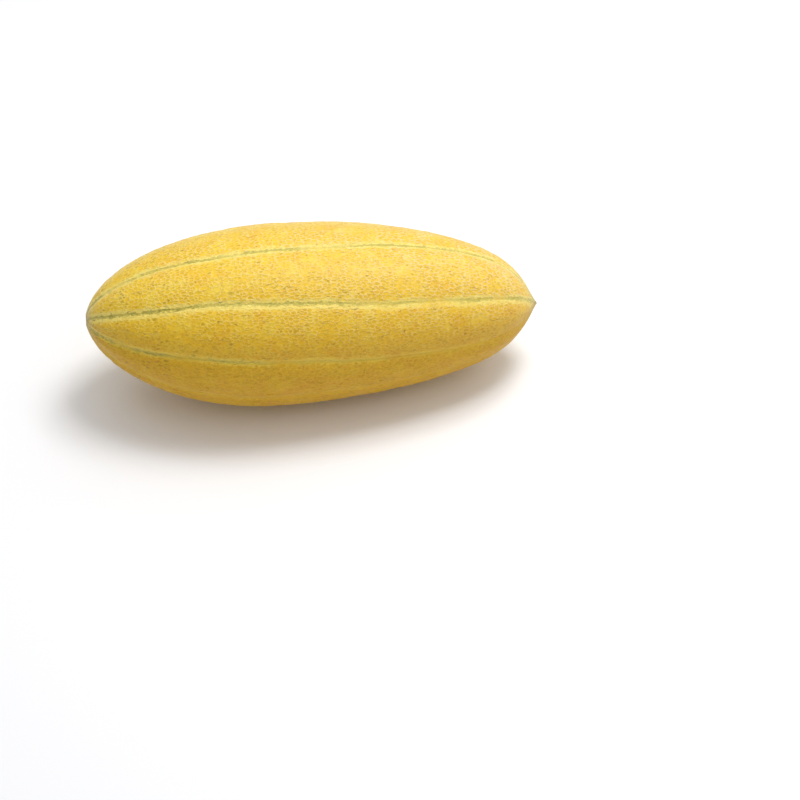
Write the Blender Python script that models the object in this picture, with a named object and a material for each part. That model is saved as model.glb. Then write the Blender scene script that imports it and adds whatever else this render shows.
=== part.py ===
"""A long netted muskmelon, whole and as picked, lying on the small flat spot that its own weight gives it.

One solid: the fruit grew as one piece. X runs along the fruit with the blossom tip at +X, Z is up,
and the origin is the middle of its bounding box on the ground. Lengths are in metres.
"""

import math
import random

import bmesh
import bpy
import numpy as np
from mathutils import Vector
from mathutils.geometry import delaunay_2d_cdt

# The fruit as a whole
LENGTH = 0.340
DIAMETER = 0.138
WIDEST_AT = 0.417  # share of the length, from the stem end
SHOULDER_POWER = 0.57  # roundness of the blunt stem end
TIP_TAPER = 0.042  # how soon the blossom end turns from a dome into a point
SWAY = 0.0019  # the axis wanders this far to each side
SWAY_ANGLE = math.radians(-27)

# Ribs and the sutures between them. A suture's numbers are its angle from the top at the stem end and
# at the blossom end, and how far it bows to one side and bends to both between them, in degrees.
SUTURES = (
    (-2, -13, 8.4, 0.3),
    (42.7, 37, 1.2, -4.3),
    (79.6, 87.3, -4.0, -2.5),
    (112.6, 123, -6.1, 1.9),
    (147, 154, 2.0, 1.0),
    (181, 183, -2.0, 1.5),
    (217, 216, 1.0, -2.0),
    (253, 249, -1.5, 1.0),
    (290, 285, 3.0, -1.5),
    (321, 312, 5.0, -1.0),
)
RIB_RISE = 0.0009
SUTURE_DEPTH = 0.0016
SUTURE_REACH = 0.0062
SUTURE_FADE_RADIUS = 0.016  # nearer the axis than this the sutures run out

# Raised net, larger than life
NET_CELL = 0.0129
NET_RISE = 0.0009
NET_DEPTH = 0.0006
NET_FLOOR = 0.76  # size of a cell's floor against the cell
NET_SCATTER = 0.28  # how far a cell may leave its even place, in cells
NET_EVENING_ROUNDS = 2
NET_SEED = 11
NET_FADE_HEIGHT = 0.0014  # the net runs out within this much above the rim of the flat spot
RIB_FADE_HEIGHT = 0.0030  # and so do the ribs and sutures within this much

# Ends
STEM_RING_RADIUS = 0.0052
STEM_SCAR = ((0.0046, 0.0002), (0.0041, 0.0004), (0.0032, 0.0001), (0.0016, -0.0004))
STEM_SCAR_MIDDLE = -0.0005
TIP_RING_RADIUS = 0.0038
TIP_NUB = ((0.0032, 0.0009), (0.0026, 0.0018), (0.0016, 0.0025))
TIP_NUB_END = 0.0027

# Flat spot that the fruit rests on, with a shallow slope between it and the rim of the cut round it
PRESSED_HALF_WIDTH = 0.0082  # half the width of the plain fruit's underside that lies below the ground
REST_LENGTH = 0.024
REST_WIDTH = 0.013
REST_RIM_HEIGHT = 0.00025

TABLE_STEPS = 4000
TURN = 2 * math.pi
WRAP_MARGIN = 1.7  # how much of the map is repeated past each side, where its angle wraps round
HEXAGON_ROW = math.sqrt(3) / 2  # distance between rows of even cells, in cells
RIND_COLOUR = (0.80, 0.52, 0.10, 1.0)
RIND_ROUGHNESS = 0.55


def profile_radius(share):
    """The fruit's plain radius at a share of its length from the stem end."""
    share = np.asarray(share, float)
    stem_side = np.clip(1 - share / WIDEST_AT, 0, 1)
    tip_side = np.clip((share - WIDEST_AT) / (1 - WIDEST_AT), 0, 1)
    shoulder = (1 - stem_side**2) ** SHOULDER_POWER
    point = np.sqrt(1 - tip_side**2) * (1 - np.exp((tip_side - 1) / TIP_TAPER))
    full = DIAMETER / 2 - RIB_RISE - NET_RISE
    return full * np.where(share < WIDEST_AT, shoulder, point)


class Meridian:
    """The fruit's side line from the stem ring to the tip ring, with its length and its even-angled map.

    In the map, a step along the fruit and a step round it that are equally long on the rind are
    equally long on paper too, so a net that is even there is even on the fruit.
    """

    def __init__(self):
        shares = np.linspace(0, 1, TABLE_STEPS + 1)
        radii = profile_radius(shares)
        first = int(np.argmax(radii > STEM_RING_RADIUS))
        last = len(radii) - 1 - int(np.argmax(radii[::-1] > TIP_RING_RADIUS))
        self.shares = shares[first : last + 1]
        self.radii = radii[first : last + 1]
        steps = np.hypot(np.diff(self.shares) * LENGTH, np.diff(self.radii))
        middles = (self.radii[1:] + self.radii[:-1]) / 2
        self.arcs = np.concatenate([[0], np.cumsum(steps)])
        self.rises = np.concatenate([[0], np.cumsum(steps / middles)])

    def rise_at_arc(self, arc):
        return np.interp(arc, self.arcs, self.rises)

    def share_at_rise(self, rise):
        return np.interp(rise, self.rises, self.shares)


def suture_angles(share):
    """The angle of each suture at a share of the length, in order round the fruit."""
    once = math.sin(math.pi * share)
    twice = math.sin(TURN * share)
    straight = [stem + (tip - stem) * share for stem, tip, _, _ in SUTURES]
    turns = [bow * once + bend * twice for _, _, bow, bend in SUTURES]
    return [math.radians(angle + turn) for angle, turn in zip(straight, turns)]


def sway(share):
    """How far the fruit's axis wanders across and up at a share of the length."""
    reach = -SWAY * np.sin(TURN * share)
    return -reach * math.sin(SWAY_ANGLE), reach * math.cos(SWAY_ANGLE)


def balanced_tilt():
    """The angle by which the blossom tip hangs when the plain fruit lies at rest on level ground."""
    shares = np.linspace(0, 1, TABLE_STEPS + 1)
    radii = profile_radius(shares)
    _, lifts = sway(shares)
    weights = radii**2 / np.sum(radii**2)
    along = (shares - np.sum(shares * weights)) * LENGTH
    under = radii - lifts + np.sum(lifts * weights)
    tilts = np.radians(np.linspace(-10, 10, 801))
    heights = [np.max(along * math.sin(tilt) + under * math.cos(tilt)) for tilt in tilts]
    return float(tilts[int(np.argmin(heights))])


def relief(share, angle):
    """How far ribs and sutures lift the rind from the plain profile."""
    radius = float(profile_radius(share))
    sutures = suture_angles(share)
    before = min((angle - suture) % TURN for suture in sutures)
    after = min((suture - angle) % TURN for suture in sutures)
    crown = math.sin(math.pi * before / (before + after)) ** 2 if before else 0.0
    fade = min(1.0, (radius / SUTURE_FADE_RADIUS) ** 2)
    groove = math.exp(-((min(before, after) * radius / SUTURE_REACH) ** 2))
    return fade * (RIB_RISE * crown - SUTURE_DEPTH * groove)


def plain_point(share, angle, lift=0.0):
    """A point of the fruit lying along X with its stem end at 0, lifted off the plain profile by lift."""
    radius = float(profile_radius(share)) + lift
    across, up = sway(share)
    return Vector((share * LENGTH, across - radius * math.sin(angle), up + radius * math.cos(angle)))


def net_seeds(meridian):
    """The middles of the net's cells as (rise, angle), the first and last row outside the fruit's two rings."""
    draw = random.Random(NET_SEED)
    rows = round(meridian.arcs[-1] / NET_CELL)
    seeds = []
    for row in range(rows + 1):
        arc = meridian.arcs[-1] * row / rows
        rise = float(meridian.rise_at_arc(arc))
        share = float(meridian.share_at_rise(rise))
        radius = float(profile_radius(share))
        sutures = suture_angles(share)
        steps = max(1, round(TURN * radius / (len(SUTURES) * NET_CELL)))
        inner = 0 < row < rows
        for i, start in enumerate(sutures):
            end = sutures[(i + 1) % len(sutures)]
            gap = (end - start) % TURN
            for step in range(steps if inner else 1):
                angle = start + gap * step / steps
                if inner and step:
                    angle += draw.uniform(-NET_SCATTER, NET_SCATTER) * NET_CELL / radius
                shift = draw.uniform(-NET_SCATTER, NET_SCATTER) * NET_CELL / radius if inner else 0
                seeds.append((rise + shift, angle % TURN, bool(inner and step)))
    return seeds


def end_seeds(meridian):
    """A row of helper middles beyond each end, half a step round from the end row."""
    helpers = []
    for rise, outward in ((meridian.rises[0], -1), (meridian.rises[-1], 1)):
        sutures = suture_angles(float(meridian.share_at_rise(rise)))
        step = TURN / len(sutures)
        for i, start in enumerate(sutures):
            gap = (sutures[(i + 1) % len(sutures)] - start) % TURN
            helpers.append((rise + outward * step * HEXAGON_ROW, (start + gap / 2) % TURN))
    return helpers


def wrapped_triangles(points):
    """The triangles between points on the map, whose angle wraps round, as (indices, mean rise, mean angle)."""
    copies = [(rise, angle, i) for i, (rise, angle) in enumerate(points)]
    copies += [(rise, angle + TURN, i) for rise, angle, i in copies if angle < WRAP_MARGIN]
    copies += [(rise, angle - TURN, i) for rise, angle, i in copies if TURN - WRAP_MARGIN < angle < TURN]
    flat = [Vector((rise, angle)) for rise, angle, _ in copies]
    placed, _, faces, origins, _, _ = delaunay_2d_cdt(flat, [], [], 0, 1e-7)
    triangles = []
    for face in faces:
        angle = sum(placed[i].y for i in face) / 3
        if 0 <= angle < TURN:
            rise = sum(placed[i].x for i in face) / 3
            corners = [copies[origins[i][0]][2] for i in face]
            triangles.append((corners, rise, angle))
    return triangles


def cells_round(points, triangles):
    """For each point, its triangles in order round it."""
    around = [[] for _ in points]
    for index, (corners, rise, angle) in enumerate(triangles):
        for corner in corners:
            own_rise, own_angle = points[corner]
            turn = (angle - own_angle + math.pi) % TURN - math.pi
            around[corner].append((math.atan2(rise - own_rise, turn), index))
    return [[index for _, index in sorted(found)] for found in around]


def even_out(seeds, helpers):
    """Moves each free middle to the middle of its cell's corners."""
    points = [seed[:2] for seed in seeds] + helpers
    triangles = wrapped_triangles(points)
    cells = cells_round(points, triangles)
    moved = []
    for (rise, angle, free), cell in zip(seeds, cells):
        if free:
            turns = [(triangles[i][2] - angle + math.pi) % TURN - math.pi for i in cell]
            rise = sum(triangles[i][1] for i in cell) / len(cell)
            angle = (angle + sum(turns) / len(turns)) % TURN
        moved.append((rise, angle, free))
    return moved


class Placing:
    """Turns a point of the fruit along X into its place at rest, its tip hanging by the balanced tilt."""

    def __init__(self):
        self.tilt = balanced_tilt()
        lows = [self.turned(plain_point(share, math.pi)).z for share in np.linspace(0, 1, TABLE_STEPS + 1)]
        pressed = PRESSED_HALF_WIDTH**2 / DIAMETER
        self.ground = min(lows) + pressed

    def turned(self, point):
        cosine, sine = math.cos(self.tilt), math.sin(self.tilt)
        return Vector((point.x * cosine + point.z * sine, point.y, point.z * cosine - point.x * sine))

    def placed(self, share, angle, net):
        """The point with its rib or suture and this much net, which all fade towards the flat spot."""
        height = max(0.0, self.turned(plain_point(share, angle)).z - self.ground - REST_RIM_HEIGHT)
        lift = net * min(1.0, height / NET_FADE_HEIGHT) ** 2
        lift += relief(share, angle) * min(1.0, height / RIB_FADE_HEIGHT) ** 2
        point = self.turned(plain_point(share, angle, lift))
        return Vector((point.x, point.y, point.z - self.ground))


def add_net(mesh, placing, meridian):
    """Builds the netted rind and returns its two open rings, at the stem end and at the tip."""
    seeds = net_seeds(meridian)
    helpers = end_seeds(meridian)
    for _ in range(NET_EVENING_ROUNDS):
        seeds = even_out(seeds, helpers)
    points = [seed[:2] for seed in seeds] + helpers
    triangles = wrapped_triangles(points)
    cells = cells_round(points, triangles)
    crests = []
    rings = ([], [])
    for corners, rise, angle in triangles:
        outer = any(corner >= len(seeds) for corner in corners)
        if outer:
            end = int(rise > meridian.rises[-1] / 2)
            rise = float(meridian.rises[-1] if end else meridian.rises[0])
        share = float(meridian.share_at_rise(rise))
        crest = mesh.verts.new(placing.placed(share, angle, NET_RISE))
        crests.append(crest)
        if outer:
            rings[end].append((angle, crest))
    for (rise, angle, _), cell in zip(seeds, cells):
        floor = []
        for index in cell:
            _, crest_rise, crest_angle = triangles[index]
            turn = (crest_angle - angle + math.pi) % TURN - math.pi
            crest_rise = min(max(crest_rise, 0.0), float(meridian.rises[-1]))
            inner_rise = rise + (crest_rise - rise) * NET_FLOOR
            share = float(meridian.share_at_rise(inner_rise))
            floor.append(mesh.verts.new(placing.placed(share, angle + turn * NET_FLOOR, -NET_DEPTH)))
        for i, index in enumerate(cell):
            after = (i + 1) % len(cell)
            mesh.faces.new((crests[index], crests[cell[after]], floor[after], floor[i]))
        mesh.faces.new(floor)
    stem, tip = [[vert for _, vert in sorted(ring, key=lambda pair: pair[0])] for ring in rings]
    return stem[::-1], tip


def add_end(mesh, placing, ring, share, outward, steps, middle):
    """Closes an open ring with smaller rings, each a radius and a height beyond it along the axis."""
    centre = placing.turned((plain_point(share, 0) + plain_point(share, math.pi)) / 2)
    centre.z -= placing.ground
    along = placing.turned(Vector((outward, 0, 0)))
    spokes = []
    for vert in ring:
        spoke = vert.co - centre
        spoke -= along * spoke.dot(along)
        spokes.append(spoke.normalized())
    previous = ring
    for radius, beyond in steps:
        current = [mesh.verts.new(centre + along * beyond + spoke * radius) for spoke in spokes]
        for i in range(len(ring)):
            after = (i + 1) % len(ring)
            mesh.faces.new((previous[i], previous[after], current[after], current[i]))
        previous = current
    tip = mesh.verts.new(centre + along * middle)
    for i in range(len(ring)):
        mesh.faces.new((previous[i], previous[(i + 1) % len(ring)], tip))


def cut_underside(mesh):
    """Cuts the fruit level just above the ground, and returns the rim of the cut in order round it."""
    bmesh.ops.triangulate(mesh, faces=mesh.faces)
    everything = mesh.verts[:] + mesh.edges[:] + mesh.faces[:]
    bmesh.ops.bisect_plane(
        mesh, geom=everything, plane_co=(0, 0, REST_RIM_HEIGHT), plane_no=(0, 0, 1), clear_inner=True, dist=1e-7
    )
    after = {}
    for edge in mesh.edges:
        if edge.is_boundary:
            corner = edge.link_loops[0]
            after[corner.vert] = corner.link_loop_next.vert
    rim = [next(iter(after))]
    while after[rim[-1]] is not rim[0]:
        rim.append(after[rim[-1]])
    return rim


def add_resting_face(mesh, rim):
    """Closes the cut with a flat face that has four corners, and a shallow slope between it and the rim."""
    middle = sum((vert.co for vert in rim), Vector()) / len(rim)
    steps = ((1, 1), (-1, 1), (-1, -1), (1, -1))
    corners = [(middle.x + x * REST_LENGTH / 2, middle.y + y * REST_WIDTH / 2, 0) for x, y in steps]
    verts = rim + [mesh.verts.new(corner) for corner in corners]
    count = len(rim)
    borders = [(i, (i + 1) % count) for i in range(count)]
    borders += [(count + i, count + (i + 1) % 4) for i in range(4)]
    _, _, faces, origins, _, _ = delaunay_2d_cdt([vert.co.xy for vert in verts], borders, [], 1, 1e-8)
    for face in faces:
        mesh.faces.new([verts[origins[i][0]] for i in reversed(face)])


def centre_on_origin(mesh):
    """Moves the fruit so that the middle of its bounding box is over the origin."""
    low = [min(vert.co[i] for vert in mesh.verts) for i in range(3)]
    high = [max(vert.co[i] for vert in mesh.verts) for i in range(3)]
    shift = Vector((-(low[0] + high[0]) / 2, -(low[1] + high[1]) / 2, 0))
    bmesh.ops.translate(mesh, verts=mesh.verts, vec=shift)


def rind_material():
    material = bpy.data.materials.new("rind")
    material.use_nodes = True
    shader = material.node_tree.nodes["Principled BSDF"]
    shader.inputs["Base Color"].default_value = RIND_COLOUR
    shader.inputs["Roughness"].default_value = RIND_ROUGHNESS
    shader.inputs["Metallic"].default_value = 0.0
    return material


def build_melon():
    """The whole fruit as one closed mesh object."""
    meridian = Meridian()
    placing = Placing()
    mesh = bmesh.new()
    stem_ring, tip_ring = add_net(mesh, placing, meridian)
    add_end(mesh, placing, stem_ring, float(meridian.shares[0]), -1, STEM_SCAR, STEM_SCAR_MIDDLE)
    add_end(mesh, placing, tip_ring, float(meridian.shares[-1]), 1, TIP_NUB, TIP_NUB_END)
    rim = cut_underside(mesh)
    add_resting_face(mesh, rim)
    centre_on_origin(mesh)
    bmesh.ops.triangulate(mesh, faces=mesh.faces)
    data = bpy.data.meshes.new("melon")
    mesh.to_mesh(data)
    mesh.free()
    data.shade_smooth()
    data.materials.append(rind_material())
    melon = bpy.data.objects.new("melon", data)
    bpy.context.scene.collection.objects.link(melon)
    return melon


def main():
    for old in list(bpy.data.objects):
        bpy.data.objects.remove(old, do_unlink=True)
    build_melon()


main()
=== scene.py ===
"""A whole netted muskmelon lying on a pale floor: its finished rind, the studio light and the camera.

The rind is one closed mesh that stands for the solid node. It follows the same profile, ribs and
sutures, with the net at its real size. Lengths are in metres, X runs towards the blossom tip, Z is up.
"""

from __future__ import annotations

import logging
import math
import random
from collections.abc import Sequence
from dataclasses import dataclass, field
from enum import Enum

import bpy
import numpy as np
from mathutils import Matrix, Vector, noise
from mathutils.geometry import delaunay_2d_cdt


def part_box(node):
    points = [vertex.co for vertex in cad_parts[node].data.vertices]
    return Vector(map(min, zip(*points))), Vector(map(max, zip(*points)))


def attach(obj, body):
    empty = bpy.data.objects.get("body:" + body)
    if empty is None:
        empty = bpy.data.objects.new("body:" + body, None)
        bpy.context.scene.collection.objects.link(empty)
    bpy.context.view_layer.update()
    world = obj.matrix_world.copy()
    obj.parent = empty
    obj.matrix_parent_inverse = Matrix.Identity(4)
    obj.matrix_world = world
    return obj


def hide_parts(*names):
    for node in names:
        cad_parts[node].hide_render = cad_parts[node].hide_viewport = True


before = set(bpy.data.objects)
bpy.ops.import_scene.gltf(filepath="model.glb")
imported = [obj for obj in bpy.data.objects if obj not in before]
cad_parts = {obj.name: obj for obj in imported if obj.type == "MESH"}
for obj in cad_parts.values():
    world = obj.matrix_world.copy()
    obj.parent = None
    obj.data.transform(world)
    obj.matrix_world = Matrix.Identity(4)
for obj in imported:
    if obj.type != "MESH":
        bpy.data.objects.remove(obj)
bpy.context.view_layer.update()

Array = np.ndarray
Colour = tuple[float, float, float, float]
Socket = bpy.types.NodeSocket

LOG = logging.getLogger("muskmelon")
NODE = "melon"
BODY = "root"
TURN = 2 * math.pi
MM = 0.001
TABLE_STEPS = 6000
ROW_RATIO = math.sqrt(3) / 2
MERGE_GAP = 1e-7
TINY = 1e-9


def colour(red: int, green: int, blue: int) -> Colour:
    """Turns a colour as seen on a screen into the linear light that a shader works in.

    Args:
        red: Screen value from 0 to 255.
        green: Screen value from 0 to 255.
        blue: Screen value from 0 to 255.

    Returns:
        The linear colour with full alpha.
    """
    # The curve's numbers are those of a standard screen.
    parts = [value / 255 for value in (red, green, blue)]
    lights = [part / 12.92 if part < 0.04045 else ((part + 0.055) / 1.055) ** 2.4 for part in parts]
    return (lights[0], lights[1], lights[2], 1.0)


def half_turn(angle: Array) -> Array:
    """Wraps angles to between minus and plus half a turn."""
    return (angle + math.pi) % TURN - math.pi


def noise_at(points: Array, wavelength: float, seed: float) -> Array:
    """Smooth random values between about -1 and 1 at points in space.

    Args:
        points: One row of x, y, z for each point.
        wavelength: Distance over which the values change.
        seed: Shifts the pattern, so that two uses differ.

    Returns:
        One value for each point.
    """
    shifted = points / wavelength + seed
    return np.array([noise.noise(Vector(row)) for row in shifted])


@dataclass(frozen=True)
class Patches:
    """Smooth random patches over the fruit.

    Attributes:
        swing: How far they go to each side of nothing.
        wavelength: Distance over which they change.
        seed: Shifts them, so that two uses differ.
    """

    swing: float
    wavelength: float
    seed: float

    def at(self, points: Array) -> Array:
        """Their value at points in space."""
        return self.swing * noise_at(points, self.wavelength, self.seed)


@dataclass(frozen=True)
class FruitShape:
    """The plain fruit before ribs, sutures and net, lying along X with its stem end at 0.

    Attributes:
        length: Stem end to the tip of the nub.
        diameter: Across the widest place, net included.
        widest_at: Share of the length, from the stem end, where the fruit is widest.
        shoulder_power: Roundness of the blunt stem end.
        tip_taper: How soon the blossom end turns from a dome into a point.
        relief_room: Room that ribs and net take outside the plain profile.
        sway_reach: How far the axis wanders to each side.
        sway_angle: Direction of that wander, from the top.
    """

    length: float = 0.340
    diameter: float = 0.138
    widest_at: float = 0.417
    shoulder_power: float = 0.57
    tip_taper: float = 0.042
    relief_room: float = 1.8 * MM
    sway_reach: float = 1.9 * MM
    sway_angle: float = math.radians(-27)

    def radius(self, share: Array) -> Array:
        """The plain radius.

        Args:
            share: Shares of the length from the stem end.

        Returns:
            One radius for each share.
        """
        stem_side = np.clip(1 - share / self.widest_at, 0, 1)
        tip_side = np.clip((share - self.widest_at) / (1 - self.widest_at), 0, 1)
        shoulder = (1 - stem_side**2) ** self.shoulder_power
        point = np.sqrt(1 - tip_side**2) * (1 - np.exp((tip_side - 1) / self.tip_taper))
        full = self.diameter / 2 - self.relief_room
        return full * np.where(share < self.widest_at, shoulder, point)

    def sway(self, share: Array) -> tuple[Array, Array]:
        """How far the axis wanders across and up at shares of the length."""
        reach = -self.sway_reach * np.sin(TURN * share)
        return -reach * math.sin(self.sway_angle), reach * math.cos(self.sway_angle)

    def points(self, share: Array, angle: Array, lift: Array) -> Array:
        """Points on the fruit.

        Args:
            share: Shares of the length from the stem end.
            angle: Angles round the axis, from the top towards the camera's side.
            lift: Distances off the plain profile.

        Returns:
            One row of x, y, z for each point.
        """
        radius = self.radius(share) + lift
        across, up = self.sway(share)
        return np.stack(
            [share * self.length, across - radius * np.sin(angle), up + radius * np.cos(angle)], axis=1
        )


@dataclass(frozen=True)
class Suture:
    """One sunken line from end to end.

    Attributes:
        stem: Its angle from the top at the stem end, in degrees.
        tip: Its angle at the blossom end.
        bow: How far it bows to one side between them.
        bend: How far it bends to both sides.
        green_at_stem: How green it is at the stem end, from 0 to 1.
        green_at_tip: How green it is at the blossom end.
        pale: How far its pale band reaches below it, in millimetres.
    """

    stem: float
    tip: float
    bow: float
    bend: float
    green_at_stem: float
    green_at_tip: float
    pale: float = 3.8


@dataclass(frozen=True)
class Sutures:
    """The ten sunken lines, and the ribs between them.

    Attributes:
        lines: The lines, in order round the fruit.
        rib_rise: Height of a rib's middle.
        depth: Depth of the broad hollow along a line.
        reach: Half width of that hollow.
        crease_depth: Depth of the narrow crease in its middle.
        crease_reach: Half width of the crease.
        fade_radius: Nearer the axis than this the lines run out.
        waver: How far a line would waver if it did so once between the ends, in degrees.
        wavers: How often it wavers between the ends.
        waver_fall: How soon a waver becomes smaller as there are more of them.
        waver_shift: Moves one line's wavers along against the next one's.
        breaks: How a line's green comes and goes.
        line_shift: Distance between two lines in the patches that break them.
        green_level: Share of its green that a line has on average.
        green_least: Share that it has at least.
    """

    lines: tuple[Suture, ...] = (
        Suture(-2.0, -13, 8.4, 0.3, 0.80, 0.75, 4.0),
        Suture(42.7, 37, 1.2, -4.3, 1.0, 0.80, 5.2),
        Suture(79.6, 87.3, -4.0, -2.5, 0.85, 0.05, 3.2),
        Suture(112.6, 123, -6.1, 1.9, 0.30, 0.12),
        Suture(147, 154, 2.0, 1.0, 0.55, 0.35),
        Suture(181, 183, -2.0, 1.5, 0.70, 0.50),
        Suture(217, 216, 1.0, -2.0, 0.80, 0.40),
        Suture(253, 249, -1.5, 1.0, 0.90, 0.65),
        Suture(290, 285, 3.0, -1.5, 0.65, 0.55),
        Suture(321, 312, 5.0, -1.0, 0.55, 0.35),
    )
    rib_rise: float = 0.9 * MM
    depth: float = 0.85 * MM
    reach: float = 5.4 * MM
    crease_depth: float = 0.35 * MM
    crease_reach: float = 1.4 * MM
    fade_radius: float = 16 * MM
    waver: float = 1.2
    wavers: tuple[float, float] = (4.3, 11.7)
    waver_fall: float = 0.8
    waver_shift: float = 1.9
    breaks: Patches = Patches(0.75, 0.024, 4.4)
    line_shift: float = 0.31
    green_level: float = 0.78
    green_least: float = 0.15

    def angles(self, share: Array) -> Array:
        """The angle of every line.

        Args:
            share: Shares of the length from the stem end.

        Returns:
            One row for each share, with one angle for each line.
        """
        share = share[:, None]
        numbers = np.array([(line.stem, line.tip, line.bow, line.bend) for line in self.lines])
        stem, tip, bow, bend = numbers.T
        angle = stem + (tip - stem) * share
        angle = angle + bow * np.sin(math.pi * share) + bend * np.sin(TURN * share)
        for count in self.wavers:
            reach = self.waver / count**self.waver_fall
            angle = angle + reach * np.sin(TURN * count * share + self.waver_shift * stem + count)
        return np.radians(angle)

    def nearest(self, share: Array, angle: Array) -> tuple[Array, Array]:
        """The line nearest to each point.

        Args:
            share: Shares of the length.
            angle: Angles round the axis.

        Returns:
            The line's number, and the angle by which the point is past it.
        """
        turns = half_turn(angle[:, None] - self.angles(share))
        line = np.abs(turns).argmin(axis=1)
        return line, turns[np.arange(len(turns)), line]

    def lift(self, fruit: FruitShape, share: Array, angle: Array) -> Array:
        """How far ribs and lines lift the rind off the plain profile.

        Args:
            fruit: The plain fruit.
            share: Shares of the length.
            angle: Angles round the axis.

        Returns:
            One distance for each point.
        """
        turns = angle[:, None] - self.angles(share)
        before = (turns % TURN).min(axis=1)
        after = ((-turns) % TURN).min(axis=1)
        crown = np.sin(math.pi * before / np.maximum(before + after, TINY)) ** 2
        radius = fruit.radius(share)
        gap = np.minimum(before, after) * radius
        hollow = self.depth * np.exp(-((gap / self.reach) ** 2))
        crease = self.crease_depth * np.exp(-((gap / self.crease_reach) ** 2))
        fade = np.minimum(1, (radius / self.fade_radius) ** 2)
        return fade * (self.rib_rise * crown - hollow - crease)

    def pale(self, line: Array) -> Array:
        """How far the pale band reaches below each numbered line."""
        return np.array([suture.pale for suture in self.lines])[line]

    def green(self, share: Array, line: Array, arc: Array) -> Array:
        """How green a line is.

        Args:
            share: Shares of the length.
            line: The number of the nearest line at each share.
            arc: Distance from the stem end along the rind.

        Returns:
            A value from 0 to 1 for each share.
        """
        ends = np.array([(suture.green_at_stem, suture.green_at_tip) for suture in self.lines])[line]
        strength = ends[:, 0] + (ends[:, 1] - ends[:, 0]) * share
        places = np.stack([arc, line * self.line_shift, np.zeros_like(arc)], axis=1)
        return strength * np.clip(self.green_level + self.breaks.at(places), self.green_least, 1)


class EvenMap:
    """The fruit's side line unrolled, from the stem ring to the tip ring.

    On this map a step along the fruit and a step round it that are equally long on the rind are
    equally long on paper too, so a net that is even on the map is even on the fruit.
    """

    def __init__(self, fruit: FruitShape, stem_radius: float, tip_radius: float) -> None:
        """Tabulates the side line.

        Args:
            fruit: The plain fruit.
            stem_radius: Radius of the ring where the stem scar starts.
            tip_radius: Radius of the ring where the nub starts.
        """
        shares = np.linspace(0, 1, TABLE_STEPS + 1)
        radii = fruit.radius(shares)
        first = int(np.argmax(radii > stem_radius))
        last = len(radii) - 1 - int(np.argmax(radii[::-1] > tip_radius))
        self.shares = shares[first : last + 1]
        radii = radii[first : last + 1]
        steps = np.hypot(np.diff(self.shares) * fruit.length, np.diff(radii))
        self.arcs = np.concatenate([[0], np.cumsum(steps)])
        self.rises = np.concatenate([[0], np.cumsum(steps / ((radii[1:] + radii[:-1]) / 2))])

    def rise_at_arc(self, arc: Array) -> Array:
        """Map heights at distances along the side line."""
        return np.interp(arc, self.arcs, self.rises)

    def share_at_rise(self, rise: Array) -> Array:
        """Shares of the length at map heights."""
        return np.interp(rise, self.rises, self.shares)

    def arc_at_rise(self, rise: Array) -> Array:
        """Distances along the side line at map heights."""
        return np.interp(rise, self.rises, self.arcs)


@dataclass
class Resting:
    """How the fruit lies: its tip hangs by the angle at which its weight is balanced.

    Attributes:
        fruit: The plain fruit.
        spot_half_width: Half the width of the flat spot that it rests on.
        fade_height: Ribs and sutures run out this far above the ground.
        net_fade_height: The net runs out this far above the ground.
        steepest: Steepest tilt that is tried, in degrees.
        tilt_tries: How many tilts are tried.
        tilt: The balanced angle.
        ground: Height of the ground below the untilted fruit's stem end.
    """

    fruit: FruitShape
    spot_half_width: float = 8.2 * MM
    fade_height: float = 3.0 * MM
    net_fade_height: float = 1.4 * MM
    steepest: float = 10.0
    tilt_tries: int = 801
    tilt: float = field(init=False)
    ground: float = field(init=False)

    def __post_init__(self) -> None:
        """Finds the balanced angle and the ground."""
        self.tilt = self.balanced_tilt()
        shares = np.linspace(0, 1, TABLE_STEPS + 1)
        angles = np.full_like(shares, math.pi)
        under = self.turned(self.fruit.points(shares, angles, np.zeros_like(shares)))
        self.ground = float(under[:, 2].min() + self.spot_half_width**2 / self.fruit.diameter)

    def balanced_tilt(self) -> float:
        """Finds the tilt at which the fruit's middle of weight lies lowest.

        Returns:
            The tilt in radians.
        """
        shares = np.linspace(0, 1, TABLE_STEPS + 1)
        radii = self.fruit.radius(shares)
        _, lifts = self.fruit.sway(shares)
        weights = radii**2 / np.sum(radii**2)
        along = (shares - np.sum(shares * weights)) * self.fruit.length
        under = radii - lifts + np.sum(lifts * weights)
        tilts = np.radians(np.linspace(-self.steepest, self.steepest, self.tilt_tries))
        heights = [np.max(along * math.sin(tilt) + under * math.cos(tilt)) for tilt in tilts]
        return float(tilts[int(np.argmin(heights))])

    def turned(self, points: Array) -> Array:
        """Tilts points about the stem end.

        Args:
            points: One row of x, y, z for each point.

        Returns:
            The tilted points.
        """
        cosine, sine = math.cos(self.tilt), math.sin(self.tilt)
        x, y, z = points.T
        return np.stack([x * cosine + z * sine, y, z * cosine - x * sine], axis=1)

    def placed(self, share: Array, angle: Array, relief: Array, net: Array) -> Array:
        """Points of the fruit at rest above the ground.

        Args:
            share: Shares of the length from the stem end.
            angle: Angles round the axis.
            relief: Lift of ribs, sutures and uneven growth.
            net: Lift of the skin and its net.

        Returns:
            One row of x, y, z for each point, none of them below the ground.
        """
        plain = self.turned(self.fruit.points(share, angle, np.zeros_like(share)))
        height = np.maximum(0, plain[:, 2] - self.ground)
        lift = relief * np.minimum(1, height / self.fade_height)
        lift = lift + net * np.minimum(1, height / self.net_fade_height)
        points = self.turned(self.fruit.points(share, angle, lift))
        points[:, 2] = np.maximum(0, points[:, 2] - self.ground)
        return points


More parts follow.
